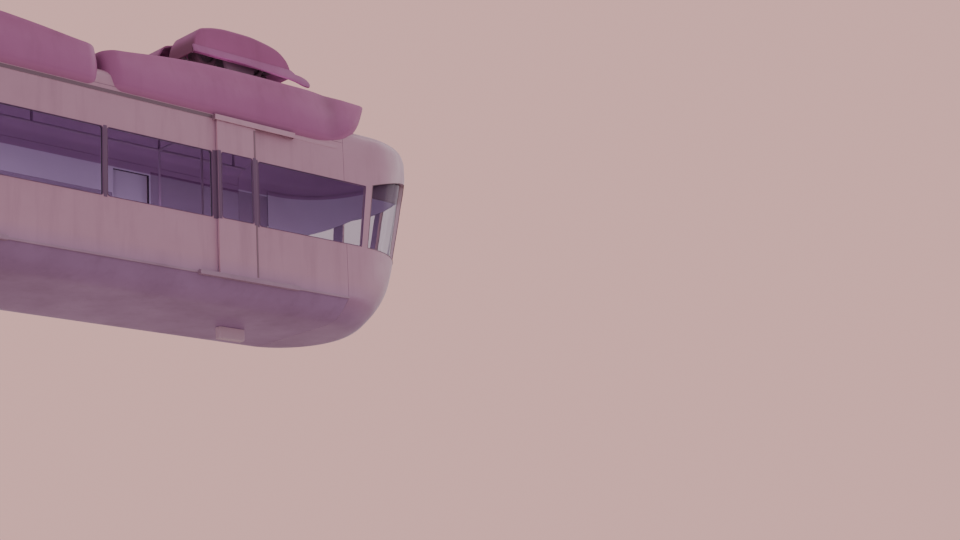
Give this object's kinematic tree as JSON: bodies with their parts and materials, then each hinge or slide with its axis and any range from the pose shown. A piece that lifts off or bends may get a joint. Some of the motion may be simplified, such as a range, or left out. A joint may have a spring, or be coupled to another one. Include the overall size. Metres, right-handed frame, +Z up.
{
  "type": "suspended monorail car",
  "caption": "Suspended monorail car with a round-nosed windowed cabin, sliding doors, boat-shaped roof fairings and hooded bogies that ride on an overhead track.",
  "frame": {"origin": "on the running surface of the track, midway between the two bogies, with the car hanging below", "axes": "+Z up, +X along the car towards the round nose that shows in the picture, -Y the side that shows in the picture"},
  "size_m": [11.42, 2.525, 4.15],
  "materials": {
    "body_paint": "faded off-white enamel with a mauve cast, semi-gloss",
    "belly_paint": "grimy off-white enamel",
    "fairing_paint": "rose pink enamel, semi-gloss",
    "rail_metal": "dull, dirty",
    "window_glass": "tinted, glossy",
    "floor_covering": "ribbed sheet",
    "bench_moulding": "moulded fibreglass",
    "grab_metal": "brushed",
    "bogie_steel": "dark greasy paint",
    "motor_casting": "painted casting",
    "wheel_tyre": "solid rubber tyre on a steel hub"
  },
  "bodies": {
    "car": {"side_panel_near": "body_paint", "side_panel_far": "body_paint", "belly_pan": "belly_paint", "roof_panel": "body_paint", "nose_front": "body_paint", "nose_rear": "body_paint", "glazing_front": "window_glass", "glazing_rear": "window_glass", "glazing_centre_near": "window_glass", "glazing_centre_far": "window_glass", "sill_rail_near": "rail_metal", "sill_rail_far": "rail_metal", "overhead_rail_near": "rail_metal", "overhead_rail_far": "rail_metal", "fairing_front": "fairing_paint", "fairing_rear": "fairing_paint", "cabin_floor": "floor_covering", "bench_front": "bench_moulding", "bench_rear": "bench_moulding", "bench_centre_near": "bench_moulding", "bench_centre_far": "bench_moulding", "grab_rails": "grab_metal", "underfloor_box": "body_paint", "bolster_front": "bogie_steel", "bolster_rear": "bogie_steel"},
    "door_front_near": {"door_front_near": "body_paint", "door_glass_front_near": "window_glass"},
    "door_front_far": {"door_front_far": "body_paint", "door_glass_front_far": "window_glass"},
    "door_rear_near": {"door_rear_near": "body_paint", "door_glass_rear_near": "window_glass"},
    "door_rear_far": {"door_rear_far": "body_paint", "door_glass_rear_far": "window_glass"},
    "bogie_front": {"bogie_frame_front": "bogie_steel", "motor_front": "motor_casting", "hood_front_near": "fairing_paint", "hood_front_far": "fairing_paint"},
    "bogie_rear": {"bogie_frame_rear": "bogie_steel", "motor_rear": "motor_casting", "hood_rear_near": "fairing_paint", "hood_rear_far": "fairing_paint"},
    "load_wheel_front_near_out": {"load_wheel_front_near_out": "wheel_tyre"},
    "load_wheel_front_near_in": {"load_wheel_front_near_in": "wheel_tyre"},
    "load_wheel_front_far_out": {"load_wheel_front_far_out": "wheel_tyre"},
    "load_wheel_front_far_in": {"load_wheel_front_far_in": "wheel_tyre"},
    "load_wheel_rear_near_out": {"load_wheel_rear_near_out": "wheel_tyre"},
    "load_wheel_rear_near_in": {"load_wheel_rear_near_in": "wheel_tyre"},
    "load_wheel_rear_far_out": {"load_wheel_rear_far_out": "wheel_tyre"},
    "load_wheel_rear_far_in": {"load_wheel_rear_far_in": "wheel_tyre"},
    "guide_wheel_front_near_out": {"guide_wheel_front_near_out": "wheel_tyre"},
    "guide_wheel_front_near_in": {"guide_wheel_front_near_in": "wheel_tyre"},
    "guide_wheel_front_far_out": {"guide_wheel_front_far_out": "wheel_tyre"},
    "guide_wheel_front_far_in": {"guide_wheel_front_far_in": "wheel_tyre"},
    "guide_wheel_rear_near_out": {"guide_wheel_rear_near_out": "wheel_tyre"},
    "guide_wheel_rear_near_in": {"guide_wheel_rear_near_in": "wheel_tyre"},
    "guide_wheel_rear_far_out": {"guide_wheel_rear_far_out": "wheel_tyre"},
    "guide_wheel_rear_far_in": {"guide_wheel_rear_far_in": "wheel_tyre"}
  },
  "joints": [
    {"name": "door_front_near_slide", "type": "slide", "parent": "car", "child": "door_front_near", "axis": [1, 0, 0], "range_m": [0, 0.62]},
    {"name": "door_front_far_slide", "type": "slide", "parent": "car", "child": "door_front_far", "axis": [1, 0, 0], "range_m": [0, 0.62]},
    {"name": "door_rear_near_slide", "type": "slide", "parent": "car", "child": "door_rear_near", "axis": [-1, 0, 0], "range_m": [0, 0.62]},
    {"name": "door_rear_far_slide", "type": "slide", "parent": "car", "child": "door_rear_far", "axis": [-1, 0, 0], "range_m": [0, 0.62]},
    {"name": "bogie_front_yaw", "type": "hinge", "parent": "car", "child": "bogie_front", "pos_m": [2.6, 0, -0.35], "axis": [0, 0, 1], "range_deg": [-8, 8]},
    {"name": "bogie_rear_yaw", "type": "hinge", "parent": "car", "child": "bogie_rear", "pos_m": [-2.6, 0, -0.35], "axis": [0, 0, 1], "range_deg": [-8, 8]},
    {"name": "load_front_near_out_spin", "type": "hinge", "parent": "bogie_front", "child": "load_wheel_front_near_out", "pos_m": [3, -0.295, 0.19], "axis": [0, 1, 0], "continuous": true},
    {"name": "load_front_near_in_spin", "type": "hinge", "parent": "bogie_front", "child": "load_wheel_front_near_in", "pos_m": [2.2, -0.295, 0.19], "axis": [0, 1, 0], "continuous": true},
    {"name": "load_front_far_out_spin", "type": "hinge", "parent": "bogie_front", "child": "load_wheel_front_far_out", "pos_m": [3, 0.295, 0.19], "axis": [0, 1, 0], "continuous": true},
    {"name": "load_front_far_in_spin", "type": "hinge", "parent": "bogie_front", "child": "load_wheel_front_far_in", "pos_m": [2.2, 0.295, 0.19], "axis": [0, 1, 0], "continuous": true},
    {"name": "load_rear_near_out_spin", "type": "hinge", "parent": "bogie_rear", "child": "load_wheel_rear_near_out", "pos_m": [-3, -0.295, 0.19], "axis": [0, 1, 0], "continuous": true},
    {"name": "load_rear_near_in_spin", "type": "hinge", "parent": "bogie_rear", "child": "load_wheel_rear_near_in", "pos_m": [-2.2, -0.295, 0.19], "axis": [0, 1, 0], "continuous": true},
    {"name": "load_rear_far_out_spin", "type": "hinge", "parent": "bogie_rear", "child": "load_wheel_rear_far_out", "pos_m": [-3, 0.295, 0.19], "axis": [0, 1, 0], "continuous": true},
    {"name": "load_rear_far_in_spin", "type": "hinge", "parent": "bogie_rear", "child": "load_wheel_rear_far_in", "pos_m": [-2.2, 0.295, 0.19], "axis": [0, 1, 0], "continuous": true},
    {"name": "guide_front_near_out_spin", "type": "hinge", "parent": "bogie_front", "child": "guide_wheel_front_near_out", "pos_m": [3.305, -0.175, 0.105], "axis": [0, 0, 1], "continuous": true},
    {"name": "guide_front_near_in_spin", "type": "hinge", "parent": "bogie_front", "child": "guide_wheel_front_near_in", "pos_m": [1.895, -0.175, 0.105], "axis": [0, 0, 1], "continuous": true},
    {"name": "guide_front_far_out_spin", "type": "hinge", "parent": "bogie_front", "child": "guide_wheel_front_far_out", "pos_m": [3.305, 0.175, 0.105], "axis": [0, 0, 1], "continuous": true},
    {"name": "guide_front_far_in_spin", "type": "hinge", "parent": "bogie_front", "child": "guide_wheel_front_far_in", "pos_m": [1.895, 0.175, 0.105], "axis": [0, 0, 1], "continuous": true},
    {"name": "guide_rear_near_out_spin", "type": "hinge", "parent": "bogie_rear", "child": "guide_wheel_rear_near_out", "pos_m": [-3.305, -0.175, 0.105], "axis": [0, 0, 1], "continuous": true},
    {"name": "guide_rear_near_in_spin", "type": "hinge", "parent": "bogie_rear", "child": "guide_wheel_rear_near_in", "pos_m": [-1.895, -0.175, 0.105], "axis": [0, 0, 1], "continuous": true},
    {"name": "guide_rear_far_out_spin", "type": "hinge", "parent": "bogie_rear", "child": "guide_wheel_rear_far_out", "pos_m": [-3.305, 0.175, 0.105], "axis": [0, 0, 1], "continuous": true},
    {"name": "guide_rear_far_in_spin", "type": "hinge", "parent": "bogie_rear", "child": "guide_wheel_rear_far_in", "pos_m": [-1.895, 0.175, 0.105], "axis": [0, 0, 1], "continuous": true}
  ]
}
